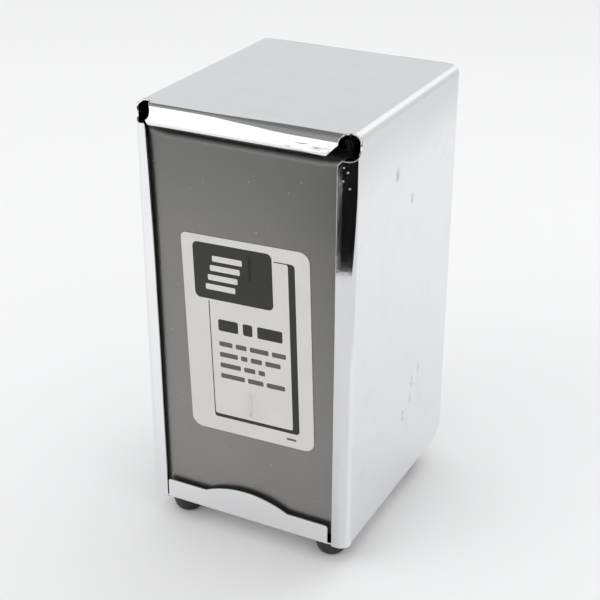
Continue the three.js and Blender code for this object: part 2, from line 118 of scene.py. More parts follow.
# Each end of the top lip, as (in from the side lip's inner edge, up from the lower edge): where its lower
# edge stops, where its end stops, and where the hole starts. "side" is where the hole meets the side lip, as
# (out from the side lip's inner edge, down from the top lip's lower edge).
LIP_ENDS = {
    1: {"edge": (4, 0), "end": (0.7, 3.5), "hole": (0.5, 4.1), "side": (2.1, 0.9)},
    -1: {"edge": (1.2, 0), "end": (0.1, 2.2), "hole": (0.4, 3.4), "side": (2.2, -0.9)},
}
LIP_SLANT = 1.3  # how much wider the left lip is at the foot
LIP_FLARE = {"width": 1.5, "fade": 24}  # how much narrower it is at the top
LIP_FOOT_DEPTH = 6.0  # how far back the side lips hang down over the floor's edge
FOLLOWER_FLANGE = 10
FOLLOWER_BEND = 1.3
FOLLOWER_TOP_BEND = 4.8
FOLLOWER_TOP_HALF = 42.3
FOLLOWER_TOP_TAPER = {"from": 36, "over": 6, "by": 2.6}  # its top bend tightens towards both ends
FOLLOWER_NOTCH = 0.6
LEG_X = 1.9
LEG_SLOT = {"half_width": 1.0, "from": 1.8, "to": 6.3}
LABEL = {"width": 57.5, "height": 88.6, "corner": 4.6, "sharp_corner": 2.4, "thickness": 0.16}
LABEL_PLACE = {"x": 1.3, "z": FLOOR + 85.5, "tilt": math.radians(-1.8)}
RIDGE = {"height": 0.9, "half_width": 1.2, "half_length": 5.6}


# --- outlines in the flat ---


def arc(centre_x, centre_y, radius, start, end, steps):
    angles = np.linspace(start, end, steps + 1)
    return [(centre_x + radius * math.cos(a), centre_y + radius * math.sin(a)) for a in angles]


def rounded(corners, step=math.radians(9)):
    """Points of a closed outline from corners (x, y, radius)."""
    points = []
    for i, (*place, radius) in enumerate(corners):
        here = Vector(place)
        before = Vector(corners[i - 1][:2])
        after = Vector(corners[(i + 1) % len(corners)][:2])
        u, v = (before - here).normalized(), (after - here).normalized()
        half = math.acos(max(-1, min(1, u.dot(v)))) / 2
        centre = here + (u + v).normalized() * (radius / math.sin(half))
        start = here + u * (radius / math.tan(half)) - centre
        turn = math.copysign(math.pi - 2 * half, -(u.x * v.y - u.y * v.x))
        first = math.atan2(start.y, start.x)
        points += arc(centre.x, centre.y, radius, first, first + turn, max(2, round(abs(turn) / step)))
    return points


def signed_area(loop):
    p = np.array(loop)
    q = np.roll(p, -1, axis=0)
    return float((p[:, 0] * q[:, 1] - p[:, 1] * q[:, 0]).sum()) / 2


def turned_to(loop, sign):
    """The loop, counter-clockwise for a positive sign and clockwise for a negative one."""
    points = np.array(loop)
    return points if signed_area(points) * sign > 0 else points[::-1]


def grown(loop, distance):
    """A counter-clockwise loop moved outwards, or a clockwise one inwards."""
    p = np.array(loop, float)
    ahead = np.roll(p, -1, axis=0) - p
    ahead /= np.linalg.norm(ahead, axis=1)[:, None]
    behind = np.roll(ahead, 1, axis=0)
    normal = np.stack([ahead[:, 1] + behind[:, 1], -ahead[:, 0] - behind[:, 0]], axis=1)
    normal /= np.maximum(np.linalg.norm(normal, axis=1)[:, None], 1e-9)
    stretch = np.maximum((normal * np.stack([ahead[:, 1], -ahead[:, 0]], axis=1)).sum(1), 0.4)
    return p + normal * (distance / stretch)[:, None]


def inside(points, loop):
    """Which points lie inside a closed loop."""
    x, y = points.T
    result = np.zeros(len(points), bool)
    p = np.array(loop)
    q = np.roll(p, -1, axis=0)
    for (x0, y0), (x1, y1) in zip(p, q):
        if y0 == y1:
            continue
        crosses = (y0 > y) != (y1 > y)
        result ^= crosses & (x < (x1 - x0) * (y - y0) / (y1 - y0) + x0)
    return result


def grid(*stretches):
    """Positions of grid lines from (start, end, spacing) stretches."""
    lines = []
    for start, end, spacing in stretches:
        count = max(1, math.ceil(abs(end - start) / spacing - 1e-6))
        lines += list(np.linspace(start, end, count + 1))
    return sorted(set(round(value, 4) for value in lines))


def mirrored(lines):
    return [-u for u in lines if u] + lines


def other_half(points):
    """The points on the other side, in the order that continues the outline."""
    return [(-x, *rest) for x, *rest in reversed(points)]


# --- folded sheets ---


def triangulate(loops, u_lines, v_lines, prints=()):
    """Triangles that fill the loops, with an edge along every grid line and every printed outline."""
    points, edges = [], []
    for loop in [*loops, *prints]:
        start = len(points)
        points += [tuple(p) for p in loop]
        edges += [(start + i, start + (i + 1) % len(loop)) for i in range(len(loop))]
    low, high = np.min(loops[0], axis=0) - 1, np.max(loops[0], axis=0) + 1
    lines = [((u, low[1]), (u, high[1])) for u in u_lines] + [((low[0], v), (high[0], v)) for v in v_lines]
    for line in lines:
        edges.append((len(points), len(points) + 1))
        points += line
    made = geometry.delaunay_2d_cdt([Vector(p) for p in points], edges, [], 0, 1e-4)
    flat = np.array([tuple(p) for p in made[0]])
    faces = np.array(made[2])
    middles = flat[faces].mean(axis=1)
    keep = np.zeros(len(faces), bool)
    for loop in loops:
        keep ^= inside(middles, loop)
    faces = faces[keep]
    used, packed = np.unique(faces, return_inverse=True)
    return flat[used], packed.reshape(faces.shape)


def boundary_chains(faces):
    """Loops of vertices along the triangles' open edges, with the material on their left."""
    edges = np.concatenate([faces[:, [0, 1]], faces[:, [1, 2]], faces[:, [2, 0]]])
    pairs = {tuple(e) for e in edges}
    following = {a: b for a, b in pairs if (b, a) not in pairs}
    chains = []
    while following:
        start = min(following)
        chain, here = [], start
        while here in following:
            chain.append(here)
            here = following.pop(here)
        chains.append(chain)
    return chains


def unit(vectors):
    return vectors / np.maximum(np.linalg.norm(vectors, axis=-1, keepdims=True), 1e-12)


def surface_normals(place, flat, depth):
    """Directions that point out of the sheet's outer face."""
    step = 0.02
    u, v = flat.T
    along_u = place(u + step, v, depth) - place(u - step, v, depth)
    along_v = place(u, v + step, depth) - place(u, v - step, depth)
    outward = place(u, v, depth) - place(u, v, depth + step)
    normals = unit(np.cross(along_u, along_v))
    flip = (normals * outward).sum(axis=1) < 0
    normals[flip] *= -1
    return normals


# The rows of points round a cut edge: the angle from the outer face, and which face the row belongs to.
RIM_ROWS = [(math.radians(degrees), side) for degrees, side in ((45, 0), (90, 0), (90, 1), (135, 1))]


def folded_sheet(name, loops, place, u_lines, v_lines, thickness=SHEET, edge=EDGE, prints=()):
    """A sheet cut along the loops, folded by place(u, v, depth) and given rounded edges.

    place turns flat positions, and depth below the outer face, into millimetres in the part's frame.
    """
    loops = [turned_to(loop, 1 if i == 0 else -1) for i, loop in enumerate(loops)]
    inner_loops = [grown(loop, -edge) for loop in loops]
    flat, faces = triangulate(inner_loops, u_lines, v_lines, [p for p, _ in prints])
    if signed_area(flat[faces[0]]) <= 0:
        faces = faces[:, ::-1]
    count = len(flat)
    outer, inner = np.zeros(count), np.full(count, thickness)
    points = [place(*flat.T, depth) for depth in (outer, inner)]
    normals = [surface_normals(place, flat, outer), -surface_normals(place, flat, inner)]
    quads = []
    total = 2 * count
    for chain in boundary_chains(faces):
        ring = np.array(chain)
        rim = grown(flat[ring], edge)
        layers = [ring]
        for angle, side in RIM_ROWS:
            share = math.sin(angle)
            at = flat[ring] + (rim - flat[ring]) * share
            lift = edge * (1 - abs(math.cos(angle)))
            depth = np.full(len(ring), lift if side == 0 else thickness - lift)
            out = unit(place(*rim.T, depth) - place(*flat[ring].T, depth))
            face = surface_normals(place, flat[ring], depth)
            points.append(place(*at.T, depth))
            normals.append(unit(out * math.sin(angle) + face * math.cos(angle)))
            layers.append(np.arange(total, total + len(ring)))
            total += len(ring)
        layers.append(ring + count)
        for upper, lower in zip(layers, layers[1:]):
            quads += list(np.stack([upper, lower, np.roll(lower, -1), np.roll(upper, -1)], axis=1))
    points, normals = np.concatenate(points), np.concatenate(normals)
    first = points[faces[0]]
    if np.dot(np.cross(first[1] - first[0], first[2] - first[0]), normals[faces[0][0]]) < 0:
        faces, quads = faces[:, ::-1], [q[::-1] for q in quads]
    piece = new_piece(name, points, [*faces, *(faces[:, ::-1] + count), *quads], normals)
    for loop, material in prints:
        for face in np.nonzero(inside(flat[faces].mean(axis=1), loop))[0]:
            piece.data.polygons[int(face)].material_index = material
    return piece


def add_object(name, data):
    thing = bpy.data.objects.new(name, data)
    bpy.context.scene.collection.objects.link(thing)
    return thing


def new_piece(name, points, polygons, normals=None):
    """A smooth-shaded mesh object from positions in millimetres."""
    mesh = bpy.data.meshes.new(name)
    mesh.from_pydata([tuple(p) for p in np.asarray(points) * MM], [], [[int(i) for i in p] for p in polygons])
    mesh.validate()
    mesh.shade_smooth()
    if normals is not None:
        mesh.normals_split_custom_set_from_vertices([tuple(n) for n in normals])
    return add_object(name, mesh)


def bend(run, start, radius, depth):
    """How far along, and how far in from the outer face, a place beyond a bend is."""
    past = np.maximum(run - start, 0)
    angle = np.minimum(past / radius, HALF_PI)
    beyond = np.maximum(past - HALF_PI * radius, 0)
    along = np.minimum(run, start) + (radius - depth) * np.sin(angle)
    inward = radius - (radius - depth) * np.cos(angle) + beyond
    return along, inward


# --- shell ---

# Where the side, the bend under it and the bottom flange begin, measured round from the middle of the top.
SIDE_START = HALF_W - TOP_BEND + HALF_PI * TOP_BEND
BOTTOM_START = SIDE_START + (TOP - TOP_BEND) - (SHELL_BOTTOM + TIGHT_BEND)
BOTTOM_FLAT = BOTTOM_START + HALF_PI * TIGHT_BEND


def smooth(share):
    """From 0 to 1, level at both ends."""
    share = np.clip(share, 0, 1)
    return share**2 * (3 - 2 * share)


def lip_bend(u):
    """Radius of the bend at the front. On top it opens out towards the right."""
    opened = smooth((u - TOP_LIP_OPENS["from"]) / TOP_LIP_OPENS["over"])
    top = TOP_LIP_BEND["left"] + (TOP_LIP_BEND["right"] - TOP_LIP_BEND["left"]) * opened
    share = np.clip((np.abs(u) - (HALF_W - TOP_BEND)) / (HALF_PI * TOP_BEND), 0, 1)
    return top + (SIDE_LIP_BEND - top) * share


def sheet_warp(u, v):
    """The slight unevenness of a folded panel."""
    return 0.035 * np.sin(u / 19 + 0.7) * np.sin(v / 23 + 1.1) + 0.02 * np.sin(u / 8.3 + v / 11.7)


def creases(u, v):
    """How far the right-hand end of the top lip is creased in and out."""
    where = np.clip((u - 10) / 20, 0, 1) * np.clip((FRONT - 2 - v) / 4, 0, 1)
    where = where * (np.abs(u) < HALF_W - TOP_BEND)
    return where * (0.06 * np.sin(v * 3.1 + u * 0.22) + 0.04 * np.sin(v * 5.3 - u * 0.5))


def hem(u, v):
    """How far back the lower edge of the top lip curls."""
    past = np.maximum(front_v(TOP_LIP - HEM["width"], lip_bend(u)) - v, 0)
    return np.where(np.abs(u) < HALF_W - TOP_BEND, past**2 / (2 * HEM["radius"]), 0)


def lean(u, drop):
    """How far forward the top lip stands, from how far below the top it is."""
    fade = np.clip((HALF_W - TOP_BEND - np.abs(u)) / 2, 0, 1)
    drop = np.maximum(drop, 0)
    return LIP_LEAN * fade * drop**2 / (drop + LEAN_START)


def place_shell(u, v, depth):
    radius = lip_bend(u)
    front_run, front_in = bend(-v, -(FRONT + radius), radius, depth)
    rear_run, rear_in = bend(v, SHELL_REAR - TIGHT_BEND, TIGHT_BEND, depth)
    middle = (FRONT + SHELL_REAR) / 2
    y = np.where(v < middle, -front_run, rear_run)
    inset = np.where(v < middle, front_in, rear_in) + sheet_warp(u, v)
    y = y + hem(u, v) + creases(u, v)
    a = np.abs(u)
    corner = np.clip((a - (HALF_W - TOP_BEND)) / TOP_BEND, 0, HALF_PI)
    under = np.clip((a - BOTTOM_START) / TIGHT_BEND, 0, HALF_PI)
    down = np.maximum(a - SIDE_START, 0)
    low = (a > BOTTOM_START) & (v > FRONT + LIP_FOOT_DEPTH)
    x = np.minimum(a, HALF_W - TOP_BEND) + (TOP_BEND - inset) * np.sin(corner)
    z = TOP - TOP_BEND + (TOP_BEND - inset) * np.cos(corner) - down
    flange = np.maximum(a - BOTTOM_FLAT, 0)
    x = np.where(low, HALF_W - TIGHT_BEND + (TIGHT_BEND - inset) * np.cos(under) - flange, x)
    z = np.where(low, SHELL_BOTTOM + TIGHT_BEND - (TIGHT_BEND - inset) * np.sin(under), z)
    y = y - np.where(v < middle, lean(u, TOP - z), 0)
    return np.stack([x * np.where(u < 0, -1, 1), y, z], axis=-1)


def side_u(z):
    """How far round the sheet a height on the side is."""
    return SIDE_START + (TOP - TOP_BEND) - z


def front_v(inset, radius=SIDE_LIP_BEND):
    """Flat position of a point on a front lip, from how far in it reaches."""
    return FRONT + radius - HALF_PI * radius - (inset - radius)


def rear_v(inset):
    return SHELL_REAR - TIGHT_BEND + HALF_PI * TIGHT_BEND + (inset - TIGHT_BEND)


def relief_edge(side, start, end):
    """The round corner hole's edge between two flat positions, going round the back of it."""
    relief = RELIEF[side]
    axis = unit(np.array(relief["axis"], float))
    through = np.array([side * (HALF_W - relief["in"]), FRONT, TOP - relief["down"]])
    centre = np.array([HALF_W - TOP_BEND + HALF_PI * TOP_BEND / 2, FRONT + 0.5])
    first = math.atan2(start[1] - centre[1], start[0] - centre[0]) % (2 * math.pi)
    last = math.atan2(end[1] - centre[1], end[0] - centre[0])
    angles = np.linspace(first, last, 48)
    rims = []
    reach = np.linspace(16, 0.5, 1200)
    for angle in angles:
        u = centre[0] + reach * math.cos(angle)
        v = centre[1] + reach * math.sin(angle)
        spot = place_shell(side * u, v, 0 * u)
        away = spot - through
        along = away @ axis
        across = np.linalg.norm(away - np.outer(along, axis), axis=1) / relief["radius"]
        within = (across < 1) & (-along < relief["reach"] * np.sqrt(np.maximum(1 - 0.7 * across**4, 0)))
        within &= spot[:, 1] - FRONT < relief["side_reach"] + 1.2 * (HALF_W - np.abs(spot[:, 0]))
        rims.append(reach[int(np.argmax(within))])
    smoothed = np.convolve(np.pad(rims, 2, "edge"), np.array([1, 2, 3, 2, 1]) / 9, "valid")
    return [(centre[0] + r * math.cos(a), centre[1] + r * math.sin(a)) for r, a in zip(smoothed, angles)]


def lip_point(side, inward, up):
    """A place on the top lip, from how far in from the side lip and up from the lower edge it is."""
    x = HALF_W - SIDE_LIP - inward
    return x, front_v(TOP_LIP - up, lip_bend(side * x))


def top_edge(side, to):
    """The top lip's lower edge, from the middle outwards. It is level, though the bend above it opens out."""
    return [(x, front_v(TOP_LIP, lip_bend(side * x))) for x in np.linspace(0, to, 14)[1:-1]]


def side_lip_edge(side):
    """The inner edge of a side lip, from just below the corner hole down."""
    z = TOP - TOP_LIP
    if side > 0:
        return [(side_u(z - 3.4), front_v(SIDE_LIP)), (side_u(FLOOR + 0.1), front_v(SIDE_LIP))]
    drops = np.array([1, 3, 8, 15, 25, 40, 60, 90])
    flare = LIP_FLARE["width"] * np.exp(-drops / LIP_FLARE["fade"])
    widths = SIDE_LIP - flare + LIP_SLANT * drops / (z - FLOOR)
    edge = [(side_u(z - drop), front_v(width)) for drop, width in zip(drops, widths)]
    return edge + [(side_u(FLOOR + 0.1), front_v(SIDE_LIP + LIP_SLANT))]


def shell_side_outline(side):
    """Half of the blank, from the middle of the top lip round to the middle of the rear flange."""
    end = LIP_ENDS[side]
    out, down = end["side"]
    hole_to = (side_u(TOP - TOP_LIP - down), front_v(SIDE_LIP - out))
    flange_end = BOTTOM_FLAT + BOTTOM_FLANGE - TIGHT_BEND
    bend_y = REAR - CHASSIS_REAR_BEND
    clear = CHASSIS_REAR_BEND - SHEET - 0.1
    rear_foot = side_u(FLOOR + REAR_FLANGE_FOOT)
    rear_head = side_u(TOP - REAR_FLANGE - REAR_FLANGE_GAP)
    from_angle, to_angle = math.radians(8), math.radians(80)
    corner = arc(side_u(FLOOR + CHASSIS_REAR_BEND), bend_y, clear, from_angle, to_angle, 11)
    lip_foot = FRONT + LIP_FOOT_DEPTH
    return [
        *top_edge(side, HALF_W - SIDE_LIP - end["edge"][0]),
        lip_point(side, *end["edge"]),
        lip_point(side, *end["end"]),
        *relief_edge(side, lip_point(side, *end["hole"]), hole_to),
        *side_lip_edge(side),
        (side_u(FLOOR + 0.1), lip_foot - 0.8),
        (BOTTOM_START - 0.2, lip_foot - 0.4),
        (BOTTOM_START - 0.2, lip_foot + 0.2),
        (BOTTOM_START + 0.2, lip_foot + 0.6),
        (flange_end, lip_foot + 0.6),
        (flange_end, bend_y - 2),
        (BOTTOM_START, bend_y - 2),
        *corner,
        (rear_foot, SHELL_REAR - TIGHT_BEND),
        (rear_foot, rear_v(REAR_FLANGE)),
        (rear_head, rear_v(REAR_FLANGE)),
        (rear_head, SHELL_REAR - 0.3),
        (HALF_W - REAR_FLANGE, SHELL_REAR - 0.3),
        (HALF_W - REAR_FLANGE, rear_v(REAR_FLANGE)),
    ]


def make_shell():
    right = shell_side_outline(1)
    left = other_half(shell_side_outline(-1))
    flat_half = HALF_W - TOP_BEND
    side = (SIDE_START, BOTTOM_START, 6)
    under = (BOTTOM_START, BOTTOM_FLAT, 0.4)
    u_lines = mirrored(grid((0, flat_half, 6), (flat_half, SIDE_START, 0.45), side, under))
    v_lines = grid(
        (FRONT - TOP_LIP - 1, FRONT + SIDE_LIP_BEND, 0.5),
        (FRONT + SIDE_LIP_BEND, SHELL_REAR - TIGHT_BEND, 6),
        (SHELL_REAR - TIGHT_BEND, rear_v(TIGHT_BEND), 0.4),
    )
    return folded_sheet("shell_sheet", [right + left], place_shell, u_lines, v_lines)


# --- chassis ---

FLOOR_LENGTH = (REAR - CHASSIS_REAR_BEND) - (FRONT + CHASSIS_FRONT_BEND)


def place_chassis(u, v, depth):
    front_run, front_in = bend(-v, 0, CHASSIS_FRONT_BEND, depth)
    rear_run, rear_in = bend(v, FLOOR_LENGTH, CHASSIS_REAR_BEND, depth)
    ahead = v < FLOOR_LENGTH / 2
    y = FRONT + CHASSIS_FRONT_BEND + np.where(ahead, -front_run, rear_run)
    z = FLOOR + np.where(ahead, front_in, rear_in)
    return np.stack([u, y + 0 * u, z + 0 * u], axis=-1)


def front_lip_v(height):
    """Flat position of a point on the front lip, from its height above the floor."""
    return -(HALF_PI * CHASSIS_FRONT_BEND + height - CHASSIS_FRONT_BEND)


def make_chassis():
    lip = FRONT_LIP
    radius = (lip["hump_half"] ** 2 + lip["hump_rise"] ** 2) / (2 * lip["hump_rise"])
    swing = math.asin(lip["hump_half"] / radius)
    centre = lip["height"] + lip["hump_rise"] - radius
    hump = arc(0, centre, radius, HALF_PI - swing, HALF_PI + swing, 40)
    shoulder = lip["half"] - lip["corner"]
    corner = arc(shoulder, lip["height"] - lip["corner"], lip["corner"], 0, HALF_PI, 8)
    stub = -0.4
    inner_bend = SIDE_LIP_BEND - 1
    wall_top = FLOOR_LENGTH + HALF_PI * CHASSIS_REAR_BEND + (chassis_high.z - FLOOR) - CHASSIS_REAR_BEND
    corner_x, corner_v = CHASSIS_HALF_W - WALL_CORNER, wall_top - WALL_CORNER
    side_right = [(CHASSIS_HALF_W, corner_v)]
    side_right += arc(CHASSIS_HALF_W - inner_bend, stub + inner_bend, inner_bend, 0, -HALF_PI, 6)
    lip_right = [(lip["half"], stub)] + [(x, front_lip_v(z)) for x, z in corner]
    outline = (
        lip_right
        + [(x, front_lip_v(z)) for x, z in hump]
        + other_half(side_right + lip_right)
        + arc(-corner_x, corner_v, WALL_CORNER, math.pi - 0.1, math.pi - 1.5, 7)
        + arc(corner_x, corner_v, WALL_CORNER, HALF_PI - 0.1, HALF_PI - 1.5, 7)
        + side_right
    )
    u_lines = grid((-CHASSIS_HALF_W, CHASSIS_HALF_W, 6))
    v_lines = grid(
        (-HALF_PI * CHASSIS_FRONT_BEND, 0, 0.3),
        (0, FLOOR_LENGTH, 7),
        (FLOOR_LENGTH, FLOOR_LENGTH + HALF_PI * CHASSIS_REAR_BEND, 0.9),
        (FLOOR_LENGTH + HALF_PI * CHASSIS_REAR_BEND, wall_top, 7),
    )
    return folded_sheet("chassis_sheet", [outline], place_chassis, u_lines, v_lines)


# --- follower and label ---

FACE_MIDDLE = (FOLLOWER_BOTTOM + FOLLOWER_TOP) / 2


def place_follower(u, v, depth):
    side_run, side_in = bend(np.abs(u), FOLLOWER_HALF_W - FOLLOWER_BEND, FOLLOWER_BEND, depth)
    taper = smooth((np.abs(u) - FOLLOWER_TOP_TAPER["from"]) / FOLLOWER_TOP_TAPER["over"])
    top_bend = FOLLOWER_TOP_BEND - FOLLOWER_TOP_TAPER["by"] * taper
    top_run, top_in = bend(v, FOLLOWER_TOP - top_bend, top_bend, depth)
    low_run, low_in = bend(-v, -(FOLLOWER_BOTTOM + FOLLOWER_BEND), FOLLOWER_BEND, depth)
    upper = v > FACE_MIDDLE
    z = np.where(upper, top_run, -low_run)
    back = side_in + np.where(upper, top_in, low_in) - depth
    crown = 0.04 * np.sin(u / 15 + 0.4) * np.sin(v / 27)
    return np.stack([side_run * np.where(u < 0, -1, 1), FOLLOWER_FRONT + back + crown, z + 0 * u], axis=-1)


def rectangle(x0, x1, y0, y1, radius):
    return rounded([(x0, y0, radius), (x1, y0, radius), (x1, y1, radius), (x0, y1, radius)])


def leg_slots():
    half = LEG_SLOT["half_width"]
    slots = []
    for height in SPRING_HEIGHTS.values():
        for end in (-1, 1):
            near, far = sorted((height + end * LEG_SLOT["from"], height + end * LEG_SLOT["to"]))
            slots.append(rectangle(LEG_X - half, LEG_X + half, near, far, 0.5))
    return slots


def make_follower():
    bend_x = FOLLOWER_HALF_W - FOLLOWER_BEND
    bend_low = FOLLOWER_BOTTOM + FOLLOWER_BEND
    bend_top = FOLLOWER_TOP - FOLLOWER_TOP_BEND
    flange = HALF_PI * FOLLOWER_BEND + FOLLOWER_FLANGE - FOLLOWER_BEND
    side_end, low_end = bend_x + flange, bend_low - flange
    top_end = bend_top + HALF_PI * FOLLOWER_TOP_BEND + FOLLOWER_FLANGE - FOLLOWER_TOP_BEND
    side_low, side_high = bend_low + FOLLOWER_NOTCH, bend_top - FOLLOWER_NOTCH
    low_half = bend_x - FOLLOWER_NOTCH
    right = [
        (low_half, low_end, 1.5),
        (low_half, side_low, 0.4),
        (side_end, side_low, 1.5),
        (side_end, side_high, 1.5),
        (FOLLOWER_TOP_HALF, side_high, 0.4),
        (FOLLOWER_TOP_HALF, top_end, 1.5),
    ]
    outline = rounded(right + other_half(right))
    u_lines = mirrored(grid((0, bend_x, 6), (bend_x, bend_x + HALF_PI * FOLLOWER_BEND, 0.4)))
    v_lines = grid(
        (bend_low - HALF_PI * FOLLOWER_BEND, bend_low, 0.4),
        (bend_low, bend_top, 6),
        (bend_top, bend_top + HALF_PI * FOLLOWER_TOP_BEND, 0.5),
    )
    return folded_sheet("follower_sheet", [outline, *leg_slots()], place_follower, u_lines, v_lines)


def leg_ridge(x, z):
    """How far the label stands off the follower where the springs' wire passes under it."""
    lift = 0 * x
    for height in SPRING_HEIGHTS.values():
        beyond = np.maximum(np.abs(z - height) - RIDGE["half_length"] + RIDGE["half_width"], 0)
        away = np.sqrt((x - LEG_X) ** 2 + beyond**2) / RIDGE["half_width"]
        lift = lift + RIDGE["height"] * np.where(away < 1, (1 - np.minimum(away, 1) ** 2) ** 2, 0)
    return lift


def place_label(u, v, depth):
    c, s = math.cos(LABEL_PLACE["tilt"]), math.sin(LABEL_PLACE["tilt"])
    x = LABEL_PLACE["x"] + u * c + v * s
    z = LABEL_PLACE["z"] - u * s + v * c
    y = FOLLOWER_FRONT - 0.1 - LABEL["thickness"] - leg_ridge(x, z) + depth
    return np.stack([x, y, z], axis=-1)


# The label's print, measured from its middle. Its materials are the paper, the ink and a grey ink.
PAPER, INK, GREY_INK = 0, 1, 2
PANEL = {"left": -17.6, "right": 19.2, "low": -36.0, "high": 38.4, "line": 0.45}
PANEL_SHADE = {"right": 3, "low": 1.6}
BLOCK = {"left": -23.6, "right": 12.2, "low": 16.8, "high": 41.2, "corner": 2.4, "margin": 0.8}
BARS = {"count": 4, "left": -18.4, "low": 21.0, "lean": 1.2, "step": 4.2, "width": 13.6, "height": 2.5}
TEXT_LEFT = -13.6
HEADING = {"words": (9.2, 4.4, 11.4), "top": 8.4, "height": 5.2, "gap": 2.2, "corner": 0.8}
LINES = {"top": -1.6, "step": 4.9, "height": 2.2, "gap": 1.5, "corner": 0.5}
LINE_WORDS = ((6.2, 5.0, 8.6, 6.4), (8.4, 3.0, 5.2, 7.0), (9.6, 5.2, 3.0), (11.2, 7.2, 8.4))


def panel_prints():
    """A framed panel with a dark shade on its right and below it."""
    left, right, low, high = (PANEL[side] for side in ("left", "right", "low", "high"))
    out, under = right + PANEL_SHADE["right"], low - PANEL_SHADE["low"]
    shade = rounded([(left, under, 1.2), (out, under, 1.6), (out, high, 1.6), (left, high, 0.6)])
    return [(shade, INK), (rectangle(left + PANEL["line"], right, low, high - PANEL["line"], 1.0), PAPER)]


def block_prints():
    """A dark block with a pictogram of folded napkins, set off from the panel by a margin."""
    left, right, low, high = (BLOCK[side] for side in ("left", "right", "low", "high"))
    margin = BLOCK["margin"]
    prints = [(rectangle(left - margin, right + margin, low - margin, high + margin, 3.0), PAPER)]
    prints.append((rectangle(left, right, low, high, BLOCK["corner"]), INK))
    for i in range(BARS["count"]):
        x, z = BARS["left"] + BARS["lean"] * i, BARS["low"] + BARS["step"] * i
        prints.append((rectangle(x, x + BARS["width"], z, z + BARS["height"], 0.5), PAPER))
    return prints


def word_prints(widths, top, row, ink):
    """A row of bars that stands for a line of text."""
    prints, x = [], TEXT_LEFT
    for width in widths:
        prints.append((rectangle(x, x + width, top - row["height"], top, row["corner"]), ink))
        x += width + row["gap"]
    return prints


def label_prints():
    """Generic printing, with bars instead of words."""
    prints = panel_prints() + block_prints()
    prints += word_prints(HEADING["words"], HEADING["top"], HEADING, INK)
    for i, widths in enumerate(LINE_WORDS):
        prints += word_prints(widths, LINES["top"] - LINES["step"] * i, LINES, GREY_INK)
    return prints + [(rectangle(16.2, 20.6, -41.0, -40.0, 0.3), GREY_INK)]


def make_label():
    half_w, half_h, corner = LABEL["width"] / 2, LABEL["height"] / 2, LABEL["corner"]
    low = [(-half_w, -half_h, corner), (half_w, -half_h, corner)]
    outline = rounded([*low, (half_w, half_h, corner), (-half_w, half_h, LABEL["sharp_corner"])])
    near = LEG_X - LABEL_PLACE["x"]
    u_lines = grid((-half_w + 3, near - 3, 5), (near - 3, near + 3, 0.3), (near + 3, half_w - 3, 5))
    v_lines = grid((-half_h + 3, half_h - 3, 1.6))
    return folded_sheet(
        "label_sheet", [outline], place_label, u_lines, v_lines, LABEL["thickness"], 0.05, label_prints()
    )


# --- springs ---

WIRE = 0.65
SPRING = {"large": 26, "small": 11, "coils": 8, "back_flat": 0.64, "front_flat": 0.8, "start": -math.pi / 6}
SPRING_LEG_START = math.pi / 3.2
LEG = {"front": 2.2, "middle": 4.0, "back": 5.8, "tip": 7.0}  # above and below the spring's centre
WIRE_BACK = REAR - SHEET - 0.1 - WIRE
WIRE_FRONT = FOLLOWER_FRONT + SHEET + 0.1 + WIRE
LEG_PROUD = FOLLOWER_FRONT - RIDGE["height"] + WIRE + 0.05


def spring_path(height):
    """A conical coil with a flat turn at each end, and the leg threaded through the follower."""
    total = 2 * math.pi * SPRING["coils"] + SPRING_LEG_START - SPRING["start"]
    back_flat, front_flat = 2 * math.pi * SPRING["back_flat"], 2 * math.pi * SPRING["front_flat"]
    swept = np.linspace(0, total, 420)
    share = np.clip((swept - back_flat) / (total - back_flat - front_flat), 0, 1)
    ease = smooth(share) * 0.25 + share * 0.75
    radius = SPRING["large"] + (SPRING["small"] - SPRING["large"]) * ease
    angle = SPRING["start"] + swept
    y = WIRE_BACK + (WIRE_FRONT - WIRE_BACK) * ease
    coil = np.stack([radius * np.cos(angle), y, height + radius * np.sin(angle)], axis=1)
    middle = (WIRE_FRONT + LEG_PROUD) / 2
    hook = (
        (1.9, WIRE_FRONT, SPRING["small"] * 0.95),
        (0.3, WIRE_FRONT, SPRING["small"] * 0.78),
        (0, WIRE_FRONT + 0.2, LEG["back"]),
        (0, middle, LEG["middle"]),
        (0, LEG_PROUD, LEG["front"]),
        (0, LEG_PROUD, -LEG["front"]),
        (0, middle, -LEG["middle"]),
        (0, WIRE_FRONT + 0.2, -LEG["back"]),
        (0, WIRE_FRONT + 0.2, -LEG["tip"]),
    )
    bends = [(LEG_X + across, y, height + up) for across, y, up in hook]
    return np.concatenate([coil, smooth_curve([coil[-1], *bends], 6)[1:]])


def smooth_curve(points, steps):
    """A Catmull-Rom curve through the points."""
    p = np.array([points[0], *points, points[-1]], float)
    out = []
    for i in range(1, len(p) - 2):
        for t in np.arange(steps) / steps:
            a, b, c, d = p[i - 1 : i + 3]
            straight = 2 * b + (c - a) * t
            curved = (2 * a - 5 * b + 4 * c - d) * t**2 + (3 * b - a - 3 * c + d) * t**3
            out.append(0.5 * (straight + curved))
    out.append(p[-2])
    return np.array(out)


def between(rings):
    """Faces that join each ring of vertices to the next. A ring of one vertex is a point on the axis."""
    faces = []
    for a, b in zip(rings, rings[1:]):
        count = max(len(a), len(b))
        for k in range(count):
            n = (k + 1) % count
            corners = [a[k % len(a)], a[n % len(a)], b[n % len(b)], b[k % len(b)]]
            faces.append(list(dict.fromkeys(corners)))
    return faces


